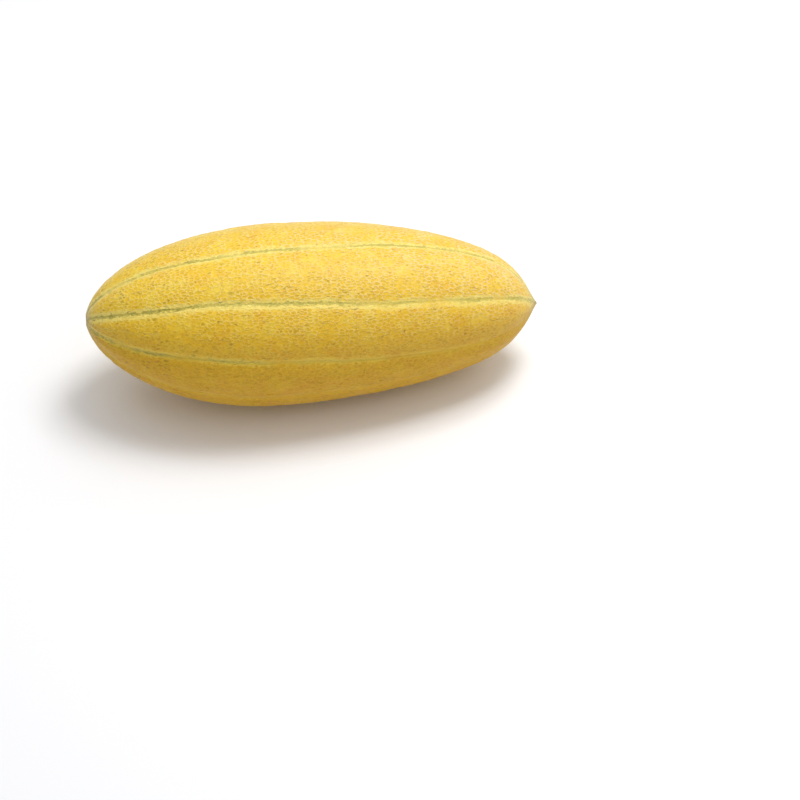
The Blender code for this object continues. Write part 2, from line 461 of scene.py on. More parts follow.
@dataclass
class NetPattern:
    """The cells of the net on the even map. A middle is a map height and an angle.

    Attributes:
        cell: Width of an ordinary cell.
        round_share: Its length round the fruit, as a share of its length along it.
        scatter: How far a cell may start from its even place, in cells.
        suture_step: Length of the cells that lie along a suture.
        suture_offset: Distance from a suture to the cells beside it.
        suture_scatter: How far those cells may stray.
        middle_slide: How freely a suture's middle row slides along it, against the rows beside it.
        side_radius: Nearer the axis than this a suture has one row of cells, not three.
        free_radius: Nearer the axis than this it has none of its own.
        side_room: Room between a suture's three rows and the scattered cells, in cells.
        middle_room: The same where it has one row.
        ring_cells: Cells round each end ring.
        wrap_margin: How much of the map is repeated past each side, where its angle wraps round.
        bend: How far the middle of a line may stray to each side, as a share of the line's length.
        bend_limit: How far it may stray at most, as a share of the way to the nearer cell's middle.
        weak_share: Share of the lines that are hardly there.
        weak_strength: Strength of those lines.
        round_strength: Strength of an ordinary line that runs round the fruit.
        along_extra: What a line that runs along the fruit has on top of that.
        seed: Seed of the random draws.
    """

    cell: float = 3.05 * MM
    round_share: float = 0.56
    scatter: float = 0.50
    suture_step: float = 5.2 * MM
    suture_offset: float = 2.5 * MM
    suture_scatter: float = 0.25 * MM
    middle_slide: float = 0.3
    side_radius: float = 0.024
    free_radius: float = 0.013
    side_room: float = 0.45
    middle_room: float = 0.6
    ring_cells: int = 16
    wrap_margin: float = 0.7
    bend: float = 0.32
    bend_limit: float = 0.28
    weak_share: float = 0.30
    weak_strength: float = 0.35
    round_strength: float = 0.50
    along_extra: float = 0.70
    seed: int = 23

    def build(self, fruit: FruitShape, sutures: Sutures, even: EvenMap) -> None:
        """Lays the cells out and bends the lines between them.

        Args:
            fruit: The plain fruit.
            sutures: The fruit's sunken lines.
            even: The unrolled side line.
        """
        self.fruit, self.sutures, self.even = fruit, sutures, even
        self.draw = random.Random(self.seed)
        fixed = self.ring_middles() + self.suture_middles()
        free = self.free_middles()
        self.middles = np.array(free + fixed + self.helper_middles())
        self.cells = len(free) + len(fixed)
        self.triangulate()
        self.order_cells()
        self.bend_lines()

    def ring_middles(self) -> list[tuple[float, float]]:
        """The cells of the two end rings.

        Returns:
            Their middles.
        """
        step = TURN / self.ring_cells
        rises = (0.0, float(self.even.rises[-1]))
        return [(rise, i * step) for rise in rises for i in range(self.ring_cells)]

    def helper_middles(self) -> list[tuple[float, float]]:
        """A row of helpers beyond each ring, half a step round from it.

        Returns:
            Their middles.
        """
        step = TURN / self.ring_cells
        past = step * ROW_RATIO
        rises = (-past, float(self.even.rises[-1]) + past)
        return [(rise, (i + 0.5) * step) for rise in rises for i in range(self.ring_cells)]

    def at_arc(self, arc: float) -> tuple[float, Array, float]:
        """Finds a place on the side line.

        Args:
            arc: Its distance from the stem ring.

        Returns:
            Its map height, its share of the length and its radius.
        """
        rise = self.even.rise_at_arc(np.array([arc]))
        share = self.even.share_at_rise(rise)
        return float(rise[0]), share, float(self.fruit.radius(share)[0])

    def suture_middles(self) -> list[tuple[float, float]]:
        """Rows of long cells that follow each suture.

        Returns:
            Their middles.
        """
        middles = []
        for line in range(len(self.sutures.lines)):
            arc = self.draw.uniform(0, self.suture_step)
            while arc < self.even.arcs[-1]:
                middles += self.suture_cells(line, arc)
                arc += self.suture_step
        return middles

    def suture_cells(self, line: int, arc: float) -> list[tuple[float, float]]:
        """The cells at one place on a suture.

        Args:
            line: The suture's number.
            arc: Distance of the place from the stem ring.

        Returns:
            Their middles.
        """
        rise, share, radius = self.at_arc(arc)
        if radius <= self.free_radius:
            return []
        angle = float(self.sutures.angles(share)[0, line])
        middles = []
        for side in (-1, 0, 1) if radius > self.side_radius else (0,):
            stray = self.draw.uniform(-1, 1) * self.suture_scatter * (1 + abs(side))
            freedom = self.middle_slide + (1 - self.middle_slide) * abs(side)
            slide = self.draw.uniform(-0.5, 0.5) * self.suture_step * freedom
            turn = (side * self.suture_offset + stray) / radius
            middles.append((rise + slide / radius, (angle + turn) % TURN))
        return middles

    def free_middles(self) -> list[tuple[float, float]]:
        """Scattered cells between the sutures.

        Returns:
            Their middles.
        """
        row_step = self.cell * ROW_RATIO / math.sqrt(self.round_share)
        middles = []
        for row in range(1, round(self.even.arcs[-1] / row_step)):
            middles += self.free_row(row * row_step, row_step)
        return middles

    def free_row(self, arc: float, row_step: float) -> list[tuple[float, float]]:
        """One row of scattered cells round the fruit, left open at the sutures.

        Args:
            arc: Distance of the row from the stem ring.
            row_step: Distance between two rows.

        Returns:
            Their middles.
        """
        rise, share, radius = self.at_arc(arc)
        round_step = self.cell * math.sqrt(self.round_share)
        count = max(self.ring_cells // 2, round(TURN * radius / round_step))
        phase = self.draw.uniform(0, 1)
        places = [i + phase + self.draw.uniform(-1, 1) * self.scatter for i in range(count)]
        slides = [self.draw.uniform(-1, 1) * self.scatter * row_step / radius for _ in places]
        angles = np.array(places) * TURN / count
        turns = half_turn(angles[:, None] - self.sutures.angles(np.full(count, share[0])))
        gaps = np.abs(turns).min(axis=1) * radius
        kept = np.flatnonzero(gaps >= self.keep_off(radius))
        return [(rise + slides[i], float(angles[i]) % TURN) for i in kept]

    def keep_off(self, radius: float) -> float:
        """How far from a suture the scattered cells start.

        Args:
            radius: Distance from the axis.

        Returns:
            The distance along the rind.
        """
        if radius > self.side_radius:
            return self.suture_offset + self.side_room * self.cell
        return self.middle_room * self.cell if radius > self.free_radius else 0.0

    def triangulate(self) -> None:
        """Joins the middles in triangles, which gives one net crossing for each."""
        rise, angle = self.middles.T
        ids = np.arange(len(rise))
        early = angle < self.wrap_margin
        late = angle > TURN - self.wrap_margin
        rises = np.concatenate([rise, rise[early], rise[late]])
        angles = np.concatenate([angle, angle[early] + TURN, angle[late] - TURN])
        owners = np.concatenate([ids, ids[early], ids[late]])
        flat = [Vector((r * self.round_share, a)) for r, a in zip(rises, angles)]
        placed, _, faces, origins, _, _ = delaunay_2d_cdt(flat, [], [], 0, MERGE_GAP)
        corners = np.array(faces)
        spots = np.array([tuple(point) for point in placed])[corners].mean(axis=1)
        inside = (spots[:, 1] >= 0) & (spots[:, 1] < TURN)
        came_from = owners[np.array([origin[0] for origin in origins])]
        self.corners = came_from[corners[inside]]
        self.crossings = spots[inside] / (self.round_share, 1)

    def order_cells(self) -> None:
        """Sorts the crossings round each cell, and notes which one comes next."""
        owner = self.corners.reshape(-1)
        crossing = np.repeat(np.arange(len(self.corners)), 3)
        rise = self.crossings[crossing, 0] - self.middles[owner, 0]
        turn = half_turn(self.crossings[crossing, 1] - self.middles[owner, 1])
        order = np.lexsort((np.arctan2(rise, turn), owner))
        order = order[owner[order] < self.cells]
        self.owner, self.crossing = owner[order], crossing[order]
        self.rise_off, self.turn_off = rise[order], turn[order]
        starts = np.searchsorted(self.owner, np.arange(self.cells + 1))
        self.following = np.arange(1, len(self.owner) + 1)
        self.following[starts[1:] - 1] = starts[:-1]

    def bend_lines(self) -> None:
        """Gives each line between two cells a middle that strays to one side, and a strength."""
        after = self.crossing[self.following]
        pairs = np.sort(np.stack([self.crossing, after], axis=1), axis=1)
        lines, self.line, uses = np.unique(pairs, axis=0, return_inverse=True, return_counts=True)
        self.line = self.line.reshape(-1)
        self.shared = uses[self.line] == 2
        rise, angle = self.crossings[lines[:, 0]].T
        rise_step = self.crossings[lines[:, 1], 0] - rise
        turn_step = half_turn(self.crossings[lines[:, 1], 1] - angle)
        lengths = np.maximum(np.hypot(rise_step, turn_step), TINY)
        room = np.full(len(lines), math.inf)
        np.minimum.at(room, self.line, self.middle_distances())
        draw = np.random.default_rng(self.seed)
        stray = draw.uniform(-1, 1, len(lines)) * np.minimum(self.bend, self.bend_limit * room / lengths)
        rises = rise + rise_step / 2 + turn_step * stray
        angles = angle + turn_step / 2 - rise_step * stray
        self.bends = np.stack([rises, angles % TURN], axis=1)
        full = self.round_strength + self.along_extra * np.abs(rise_step) / lengths
        weak = draw.random(len(lines)) < self.weak_share
        self.bend_strength = np.where(weak, self.weak_strength, full)

    def middle_distances(self) -> Array:
        """How far each side of each cell runs from the cell's middle.

        Returns:
            One distance on the map for each side.
        """
        rise = (self.rise_off + self.rise_off[self.following]) / 2
        turn = (self.turn_off + self.turn_off[self.following]) / 2
        return np.hypot(rise, turn)

    def end_rings(self) -> tuple[Array, Array]:
        """The crossings round each open end, which are those whose triangle has a helper.

        Returns:
            Their numbers in order of angle, at the stem and at the tip.
        """
        outer = np.flatnonzero((self.corners >= self.cells).any(axis=1))
        outer = outer[np.argsort(self.crossings[outer, 1])]
        at_tip = self.crossings[outer, 0] > self.even.rises[-1] / 2
        return outer[~at_tip], outer[at_tip]


class Finish(Enum):
    """The rind's finishes, in the order of its material slots."""

    SKIN = 0
    CORK = 1
    NUB = 2


@dataclass(frozen=True)
class EndRing:
    """One ring of an end piece. Its lengths are in millimetres.

    Attributes:
        radius: Distance from the fruit's axis.
        beyond: Distance past the open end along the axis.
        rough: How far the ring's points stray from that.
        finish: Which of the rind's finishes the band outside the ring takes.
    """

    radius: float
    beyond: float
    rough: float
    finish: Finish


@dataclass(frozen=True)
class StemScar:
    """The round corky scar where the stem came away: a raised collar round a sunken disc.

    Attributes:
        ring_radius: Radius at which the netted rind ends.
        rings: The scar from its edge inwards.
        middle: Depth of its middle.
    """

    ring_radius: float = 5.2 * MM
    rings: tuple[EndRing, ...] = (
        EndRing(4.9, 0.08, 0.05, Finish.SKIN),
        EndRing(4.6, 0.16, 0.08, Finish.SKIN),
        EndRing(4.3, 0.30, 0.10, Finish.CORK),
        EndRing(4.0, 0.34, 0.12, Finish.CORK),
        EndRing(3.7, 0.28, 0.12, Finish.CORK),
        EndRing(3.3, 0.10, 0.12, Finish.CORK),
        EndRing(2.8, -0.12, 0.12, Finish.NUB),
        EndRing(2.2, -0.20, 0.16, Finish.NUB),
        EndRing(1.6, -0.24, 0.16, Finish.NUB),
        EndRing(1.1, -0.34, 0.12, Finish.NUB),
        EndRing(0.6, -0.40, 0.08, Finish.NUB),
    )
    middle: float = -0.38 * MM


@dataclass(frozen=True)
class BlossomNub:
    """The dry nub that the flower left at the pointed end.

    Attributes:
        ring_radius: Radius at which the netted rind ends.
        rings: The nub from its foot outwards.
        middle: Height of its end.
    """

    ring_radius: float = 3.8 * MM
    rings: tuple[EndRing, ...] = (
        EndRing(3.40, 0.25, 0.05, Finish.SKIN),
        EndRing(2.95, 0.52, 0.06, Finish.SKIN),
        EndRing(2.50, 0.82, 0.07, Finish.SKIN),
        EndRing(2.05, 1.12, 0.08, Finish.SKIN),
        EndRing(1.60, 1.45, 0.10, Finish.CORK),
        EndRing(1.20, 1.78, 0.10, Finish.NUB),
        EndRing(0.80, 2.02, 0.08, Finish.NUB),
        EndRing(0.40, 2.16, 0.05, Finish.NUB),
    )
    middle: float = 2.20 * MM


class Board:
    """A material's node tree with short calls for the nodes that the finishes need."""

    def __init__(self, name: str) -> None:
        """Starts a material with an empty tree.

        Args:
            name: The material's name.
        """
        self.material = bpy.data.materials.new(name)
        self.material.use_nodes = True
        self.tree = self.material.node_tree
        self.tree.nodes.clear()

    def node(self, kind: str, **settings: object) -> bpy.types.Node:
        """Adds a node.

        Args:
            kind: The node's type.
            settings: Its properties, by name.

        Returns:
            The node.
        """
        made = self.tree.nodes.new(kind)
        for name, value in settings.items():
            setattr(made, name, value)
        return made

    def feed(self, socket: Socket, value: object) -> None:
        """Links a socket to another one, or sets it to a plain value.

        Args:
            socket: The socket that takes it.
            value: The other socket, or the plain value.
        """
        if isinstance(value, bpy.types.NodeSocket):
            self.tree.links.new(value, socket)
        else:
            socket.default_value = value

    def feed_all(self, node: bpy.types.Node, **values: object) -> None:
        """Feeds a node's inputs, by their names with underscores."""
        for name, value in values.items():
            self.feed(node.inputs[name.replace("_", " ")], value)

    def attribute(self, name: str) -> Socket:
        """The value of one of the rind's own measures."""
        return self.node("ShaderNodeAttribute", attribute_name=name).outputs["Fac"]

    def place(self) -> Socket:
        """The point's place in the object."""
        return self.node("ShaderNodeTexCoord").outputs["Object"]

    def math(self, operation: str, *values: object) -> Socket:
        """One step of arithmetic.

        Args:
            operation: Which one.
            values: What goes into it.

        Returns:
            Its result.
        """
        made = self.node("ShaderNodeMath", operation=operation)
        for socket, value in zip(made.inputs, values):
            self.feed(socket, value)
        return made.outputs[0]

    def product(self, first: object, *others: object) -> Socket:
        """Several values multiplied together.

        Args:
            first: The first value.
            others: The ones that it is multiplied by, in order.

        Returns:
            The product.
        """
        for other in others:
            first = self.math("MULTIPLY", first, other)
        return first

    def vector(self, x: object, y: object, z: object) -> Socket:
        """Joins three values in a vector.

        Args:
            x: The first value.
            y: The second value.
            z: The third value.

        Returns:
            The vector.
        """
        made = self.node("ShaderNodeCombineXYZ")
        self.feed_all(made, X=x, Y=y, Z=z)
        return made.outputs[0]

    def scaled(self, place: Socket, factors: tuple[float, float, float]) -> Socket:
        """Stretches a place.

        Args:
            place: The place.
            factors: What each of its coordinates is multiplied by.

        Returns:
            The stretched place.
        """
        made = self.node("ShaderNodeVectorMath", operation="MULTIPLY")
        self.feed(made.inputs[0], place)
        self.feed(made.inputs[1], factors)
        return made.outputs[0]

    def ramp(
        self, value: object, low: float, high: float, start: float = 0.0, end: float = 1.0
    ) -> Socket:
        """Maps a value smoothly onto another range.

        Args:
            value: The value.
            low: Up to this it gives the start.
            high: From this it gives the end.
            start: The new range's first value.
            end: The new range's last value.

        Returns:
            The mapped value.
        """
        made = self.node("ShaderNodeMapRange", interpolation_type="SMOOTHSTEP")
        self.feed_all(made, Value=value, From_Min=low, From_Max=high, To_Min=start, To_Max=end)
        return made.outputs["Result"]

    def noise(self, place: Socket, scale: float, detail: float, rough: float) -> Socket:
        """Cloudy noise.

        Args:
            place: Where it is taken.
            scale: How many clouds there are to a unit of the place.
            detail: How many finer layers it has.
            rough: How strong each layer is against the one before.

        Returns:
            Its value.
        """
        made = self.node("ShaderNodeTexNoise")
        self.feed_all(made, Vector=place, Scale=scale, Detail=detail, Roughness=rough)
        return made.outputs["Fac"]

    def mix(self, share: object, first: object, second: object, blend: str = "MIX") -> Socket:
        """Mixes two colours.

        Args:
            share: How much of the second is taken.
            first: One colour.
            second: The other colour.
            blend: How the second is laid over the first.

        Returns:
            The mixed colour.
        """
        made = self.node("ShaderNodeMix", data_type="RGBA", blend_type=blend)
        for index, value in ((0, share), (6, first), (7, second)):
            self.feed(made.inputs[index], value)
        return made.outputs[2]

    def bump(self, height: Socket, depth: float, below: Socket | None = None) -> Socket:
        """A normal that follows a height field.

        Args:
            height: The field, from 0 to 1.
            depth: Its real depth.
            below: A normal that it is laid over.

        Returns:
            The normal.
        """
        made = self.node("ShaderNodeBump")
        self.feed_all(made, Height=height, Strength=1.0, Distance=depth)
        if below is not None:
            self.feed(made.inputs["Normal"], below)
        return made.outputs[0]

    def finish(self, base: object, roughness: object, normal: Socket, **plain: float) -> bpy.types.Material:
        """Joins the surface up.

        Args:
            base: The colour.
            roughness: The roughness.
            normal: The bumped normal.
            plain: Other inputs of the surface, by name with underscores, that are the same all over.

        Returns:
            The finished material.
        """
        surface = self.node("ShaderNodeBsdfPrincipled")
        self.feed_all(surface, Base_Color=base, Roughness=roughness, Normal=normal, **plain)
        output = self.node("ShaderNodeOutputMaterial")
        self.tree.links.new(surface.outputs[0], output.inputs["Surface"])
        return self.material


@dataclass(frozen=True)
class Clouds:
    """Cloudy noise with what its values are mapped onto.

    Attributes:
        scale: How many clouds there are to a metre.
        detail: How many finer layers they have.
        rough: How strong each layer is against the one before.
        low: Noise up to this gives the first value.
        high: Noise from this gives the last value.
        values: The first and the last value.
    """

    scale: float
    detail: float
    rough: float
    low: float
    high: float
    values: tuple[float, float] = (0.0, 1.0)

    def on(self, board: Board, place: Socket) -> Socket:
        """Their mapped value at a place."""
        noise_value = board.noise(place, self.scale, self.detail, self.rough)
        return board.ramp(noise_value, self.low, self.high, *self.values)


@dataclass(frozen=True)
class Streaks:
    """Noise that is drawn out along a suture.

    Attributes:
        stretch: What distances along the suture are multiplied by, so that it is drawn out there.
        layer: Shifts it, so that two uses differ.
        scale: How many streaks there are to a millimetre across the suture.
        detail: How many finer layers they have.
        rough: How strong each layer is against the one before.
    """

    stretch: float
    layer: float
    scale: float
    detail: float
    rough: float

    def on(self, board: Board) -> Socket:
        """Their value on the rind.

        Args:
            board: The skin's node tree.

        Returns:
            The value.
        """
        along = board.math("MULTIPLY", board.attribute("along"), self.stretch)
        place = board.vector(along, board.attribute("gap"), self.layer)
        return board.noise(place, self.scale, self.detail, self.rough)


@dataclass(frozen=True)
class SkinFinish:
    """The golden rind, its cream net and its green suture lines.

    Attributes:
        gold: The ordinary skin.
        amber: Deeper patches, and the middles of cells.
        straw_and_band_shade: Paler patches, and the pale bands on the side away from the light, where they
            are darker as painted shade.
        net: The dry net.
        border: The pale bands beside a suture, painted paler on the side turned to the light as painted
            highlight.
        leaf: The green line in a suture.
        olive: The darkest dashes in it.
        fleck: The cells that are still green.
        tan: The rind round both ends.
        shade: Painted shade: what the colour of the side turned away from the light is multiplied by, in
            red, green and blue.
        painted_highlight: Painted highlight: what the colour of the side turned to the light is multiplied
            by, which pales it and adds blue like a sheen.
        highlight_full_at: How squarely a side must face the light to take the painted highlight fully, for
            each of the three.
        shaded_at: How far it must face away to take the painted shade fully.
        blue_at_stem: What the blue alone is multiplied by near the stem end.
        blue_at_tip: The same near the blossom end.
        blue_span: Where that starts and ends along the rind, in millimetres.
        core_half_width: Half width of the green line, in millimetres.
        core_edges: Shares of it at which the green starts and stops fading.
        upper_border: How far the pale band reaches on a suture's upper side, in millimetres.
        net_share: How much of the net's own colour shows on it.
        fleck_share: How much of the green shows in a green cell.
        border_share: How much of the pale band's colour shows in it.
        leaf_share: How much of the green shows in the line.
        dark_span: Where the darkest dashes start and stop fading along the rind, in millimetres.
        dark_shares: How strong they are at those two places.
        warm: The deeper patches.
        pale: The paler patches.
        mottle: Fine changes of tone.
        mottle_stretch: How those are stretched along each axis.
        cell_tone: How far a cell's tone goes to each side.
        tone_blue: Power by which the blue follows the tone.
        jitter: How the edges of the net's lines waver.
        crumbs: How the edges of the bands crumble, in millimetres.
        streaks: How they stray along a suture.
        dashes: How the green line breaks in dashes.
        spells: How the pale bands come and go.
        net_depth: Depth of the net's bump.
        grain_scale: How many grains there are to a metre.
        grain_depth: Depth of the grain's bump.
        sheen: Strength of the skin's faint bloom.
        specular: Level of its shine.
    """

    gold: Colour = colour(236, 194, 36)
    amber: Colour = colour(228, 168, 16)
    straw_and_band_shade: Colour = colour(240, 208, 66)
    net: Colour = colour(247, 214, 112)
    border: Colour = colour(246, 231, 136)
    leaf: Colour = colour(184, 172, 76)
    olive: Colour = colour(138, 130, 50)
    fleck: Colour = colour(160, 146, 56)
    tan: Colour = colour(184, 164, 108)
    # Painted shade and painted highlight: factors by how squarely a side faces the light.
    shade: tuple[float, float, float] = (0.75, 0.63, 0.04)
    painted_highlight: tuple[float, float, float] = (1.0, 1.02, 1.90)
    highlight_full_at: tuple[float, float, float] = (0.7, 0.7, 1.0)
    blue_at_stem: float = 0.62
    blue_at_tip: float = 1.22
    core_half_width: float = 1.30
    upper_border: float = 4.1
    shaded_at: float = -0.75
    blue_span: tuple[float, float] = (20.0, 340.0)
    core_edges: tuple[float, float] = (0.3, 1.6)
    net_share: float = 0.72
    fleck_share: float = 0.55
    border_share: float = 0.85
    leaf_share: float = 0.82
    dark_span: tuple[float, float] = (20.0, 190.0)
    dark_shares: tuple[float, float] = (0.95, 0.30)
    warm: Clouds = Clouds(60, 4, 0.6, 0.46, 0.70, (0.0, 0.55))
    pale: Clouds = Clouds(80, 4, 0.6, 0.48, 0.70, (0.0, 0.8))
    mottle: Clouds = Clouds(480, 4, 0.7, 0.3, 0.7, (0.90, 1.10))
    mottle_stretch: tuple[float, float, float] = (0.7, 1.0, 1.0)
    cell_tone: float = 0.10
    tone_blue: float = 1.5
    jitter: Clouds = Clouds(800, 3, 0.6, 0.25, 0.75, (-0.22, 0.22))
    crumbs: Clouds = Clouds(420, 3, 0.6, 0.3, 0.7, (-0.9, 0.9))
    streaks: Streaks = Streaks(0.10, 0.0, 0.9, 4, 0.65)
    dashes: Streaks = Streaks(0.35, 5.0, 0.8, 3, 0.65)
    spells: Streaks = Streaks(0.02, 9.0, 1.0, 2, 0.5)
    net_depth: float = 0.22 * MM
    grain_scale: float = 900
    grain_depth: float = 0.16 * MM
    sheen: float = 0.09
    specular: float = 0.28

    def material(self) -> bpy.types.Material:
        """Builds the skin's material.

        Returns:
            The finished material.
        """
        board = Board("melon_skin")
        place = board.place()
        strength = board.ramp(board.attribute("net"), 0.0, 0.9, 0.25, 1.0)
        net = board.math("MULTIPLY", self.ridge(board, place), strength)
        colours = self.ground_colours(board, place)
        colours = board.mix(board.math("MULTIPLY", net, self.net_share), colours, self.net)
        fleck = board.ramp(board.attribute("fleck"), 0.25, 0.75, 0.0, self.fleck_share)
        colours = board.mix(fleck, colours, self.fleck)
        # Painted shade and painted highlight: darker on the side away from the light, paler and bluer on
        # the side turned to it.
        colours = board.mix(1.0, colours, self.painted_light_and_tip_tint(board), "MULTIPLY")
        colours = self.suture_bands(board, place, colours)
        colours = board.mix(board.attribute("end"), colours, self.tan)
        grain = board.noise(place, self.grain_scale, 4, 0.65)
        normal = board.bump(grain, self.grain_depth, board.bump(net, self.net_depth))
        dry = board.ramp(net, 0, 1, 0.42, 0.64)
        roughness = board.math("ADD", dry, board.ramp(grain, 0.3, 0.7, -0.04, 0.06))
        return board.finish(
            colours, roughness, normal, Sheen_Weight=self.sheen, Specular_IOR_Level=self.specular
        )

    def painted_light_and_tip_tint(self, board: Board) -> Socket:
        """What the colours are multiplied by: painted shade deepens them on the side turned away from the
        light, a painted highlight pales them on the side turned to it, and they are paler towards the tip.

        Args:
            board: The skin's node tree.

        Returns:
            The three factors as a colour.
        """
        # How squarely each point faces the lit top-back side, which sets the painted shade and highlight.
        lit_side = board.attribute("lit_side")
        spans = zip(self.highlight_full_at, self.shade, self.painted_highlight)
        red, green, blue = (board.ramp(lit_side, self.shaded_at, *span) for span in spans)
        along = board.ramp(board.attribute("along"), *self.blue_span, self.blue_at_stem, self.blue_at_tip)
        return board.vector(red, green, board.math("MULTIPLY", blue, along))

    def ridge(self, board: Board, place: Socket) -> Socket:
        """Where the net's lines run: 1 on a line and 0 between them, with wavering edges."""
        wavering = board.math("ADD", board.attribute("edge"), self.jitter.on(board, place))
        return board.ramp(wavering, 0.50, 0.90)

    def ground_colours(self, board: Board, place: Socket) -> Socket:
        """The skin between the net: large warm and pale patches, and a tone for each cell.

        Args:
            board: The skin's node tree.
            place: The point's place.

        Returns:
            The colour.
        """
        colours = board.mix(self.warm.on(board, place), self.gold, self.amber)
        colours = board.mix(self.pale.on(board, place), colours, self.straw_and_band_shade)
        colours = board.mix(board.ramp(board.attribute("edge"), 0.1, 0.8, 0.20, 0.0), colours, self.amber)
        mottle = self.mottle.on(board, board.scaled(place, self.mottle_stretch))
        own = board.math("MULTIPLY", board.attribute("tone"), self.cell_tone)
        tone = board.math("ADD", mottle, own)
        tones = board.vector(tone, tone, board.math("POWER", tone, self.tone_blue))
        return board.mix(1.0, colours, tones, "MULTIPLY")

    def suture_bands(self, board: Board, place: Socket, colours: Socket) -> Socket:
        """Lays the pale bands and the broken green line of each suture over the colours.

        Args:
            board: The skin's node tree.
            place: The point's place.
            colours: The colours below them.

        Returns:
            The colours with the sutures.
        """
        streaks = self.streaks.on(board)
        strayed = board.math("ADD", board.attribute("gap"), board.ramp(streaks, 0.3, 0.7, -0.9, 0.9))
        strayed = board.math("ADD", strayed, self.crumbs.on(board, place))
        band = self.pale_band(board, strayed, streaks)
        # Painted shade and highlight: the pale bands take a deeper yellow on the side turned away from the
        # light and their paler colour on the side turned to it.
        border = board.mix(board.ramp(board.attribute("lit_side"), -0.6, 0.6), self.straw_and_band_shade, self.border)
        colours = board.mix(board.math("MULTIPLY", band, self.border_share), colours, border)
        first, last = (self.core_half_width * edge for edge in self.core_edges)
        core = board.ramp(board.math("ABSOLUTE", strayed), first, last, 1.0, 0.0)
        core = board.math("MULTIPLY", core, board.ramp(board.attribute("line"), 0.05, 0.9))
        fading = board.ramp(board.attribute("along"), *self.dark_span, *self.dark_shares)
        dark = board.product(core, board.ramp(self.dashes.on(board), 0.44, 0.62), fading)
        colours = board.mix(board.math("MULTIPLY", core, self.leaf_share), colours, self.leaf)
        return board.mix(dark, colours, self.olive)

    def pale_band(self, board: Board, strayed: Socket, streaks: Socket) -> Socket:
        """Where the pale bands beside the sutures are.

        Args:
            board: The skin's node tree.
            strayed: Distance from the suture with wavering edges, in millimetres.
            streaks: The streaks along it.

        Returns:
            1 in a full band and 0 outside.
        """
        above = board.ramp(strayed, -self.upper_border, -self.upper_border * 0.5, 0.0, 0.9)
        below = board.ramp(board.math("DIVIDE", strayed, board.attribute("pale")), 0.6, 1.05, 1.0, 0.0)
        patchy = board.ramp(streaks, 0.3, 0.55, 0.45, 1.0)
        greener = board.ramp(board.attribute("line"), 0.0, 0.6, 0.12, 1.0)
        coming = board.ramp(self.spells.on(board), 0.35, 0.60, 0.60, 1.0)
        return board.product(above, below, patchy, greener, coming)


@dataclass(frozen=True)
class DryFinish:
    """Dry plant matter, such as the scar's collar or the nub.

    Attributes:
        name: The material's name.
        light: Its ordinary colour.
        dark: Its cracks and pits.
        crack_scale: How many cracks there are to a metre.
        crack_depth: Their depth.
        blotches: Where it is darker.
    """

    name: str
    light: Colour
    dark: Colour
    crack_scale: float = 1300
    crack_depth: float = 0.30 * MM
    blotches: Clouds = Clouds(500, 3, 0.6, 0.4, 0.7, (0.0, 0.35))

    def material(self) -> bpy.types.Material:
        """Builds the material.

        Returns:
            The finished material.
        """
        board = Board(self.name)
        place = board.place()
        cracks = board.noise(place, self.crack_scale, 5, 0.7)
        colours = board.mix(board.ramp(cracks, 0.38, 0.60), self.dark, self.light)
        colours = board.mix(self.blotches.on(board, place), colours, self.dark)
        normal = board.bump(cracks, self.crack_depth)
        roughness = board.ramp(cracks, 0.3, 0.7, 0.90, 0.72)
        return board.finish(colours, roughness, normal)


@dataclass(frozen=True)
class NetStrength:
    """How strongly the net stands out from place to place.

    Attributes:
        level: Its strength on average.
        broad: Broad changes of it.
        close: Changes over a few cells.
        least: Its least strength before the places below.
        most: Its most.
        lost_in_crease: Share of it that is lost in a suture's crease.
        full_radius: Nearer the axis than this it fades.
        least_at_ends: Share of it that the ends keep.
    """

    level: float = 0.60
    broad: Patches = Patches(0.50, 0.020, 8.1)
    close: Patches = Patches(0.80, 0.0042, 12.7)
    least: float = 0.05
    most: float = 1.1
    lost_in_crease: float = 0.75
    full_radius: float = 12 * MM
    least_at_ends: float = 0.25

    def at(self, points: Array, crease: Array, radius: Array) -> Array:
        """The net's strength.

        Args:
            points: Places on the plain fruit.
            crease: Their distance from the nearest suture, in half widths of its crease.
            radius: Their distance from the axis.

        Returns:
            A value from 0 to about 1 for each place.
        """
        patchy = self.level + self.broad.at(points) + self.close.at(points)
        strength = np.clip(patchy, self.least, self.most)
        strength *= 1 - self.lost_in_crease * np.exp(-(crease**2))
        return strength * np.clip(radius / self.full_radius, self.least_at_ends, 1)


@dataclass(frozen=True)
class GreenCells:
    """Which cells are still green: some near the stem end, and there beside the sutures.

    Attributes:
        at_stem: Share of the cells at the stem end.
        stem_reach: How far along the rind that reaches.
        suture_reach: How far from a suture the cells beside it are.
        suture_arcs: Distances from the stem end along the rind.
        suture_shares: Share of the cells beside a suture at each of them.
        patches: How the shares change from place to place.
        patch_level: What they are multiplied by on average.
        patch_most: What they are multiplied by at most.
    """

    at_stem: float = 0.40
    stem_reach: float = 0.066
    suture_reach: float = 5 * MM
    suture_arcs: tuple[float, ...] = (0, 0.10, 0.20)
    suture_shares: tuple[float, ...] = (0.22, 0.06, 0.0)
    patches: Patches = Patches(2.2, 0.010, 6.3)
    patch_level: float = 0.25
    patch_most: float = 1.4

    def share(self, arc: Array, gap: Array, points: Array) -> Array:
        """What share of the cells is still green.

        Args:
            arc: Distances from the stem end along the rind.
            gap: Distances from the nearest suture.
            points: Places on the plain fruit.

        Returns:
            One share for each place.
        """
        stem = self.at_stem * np.exp(-((arc / self.stem_reach) ** 2))
        along = np.interp(arc, self.suture_arcs, self.suture_shares)
        beside = np.exp(-((gap / self.suture_reach) ** 2)) * along
        patch = np.clip(self.patch_level + self.patches.at(points), 0, self.patch_most)
        return (stem + beside) * patch


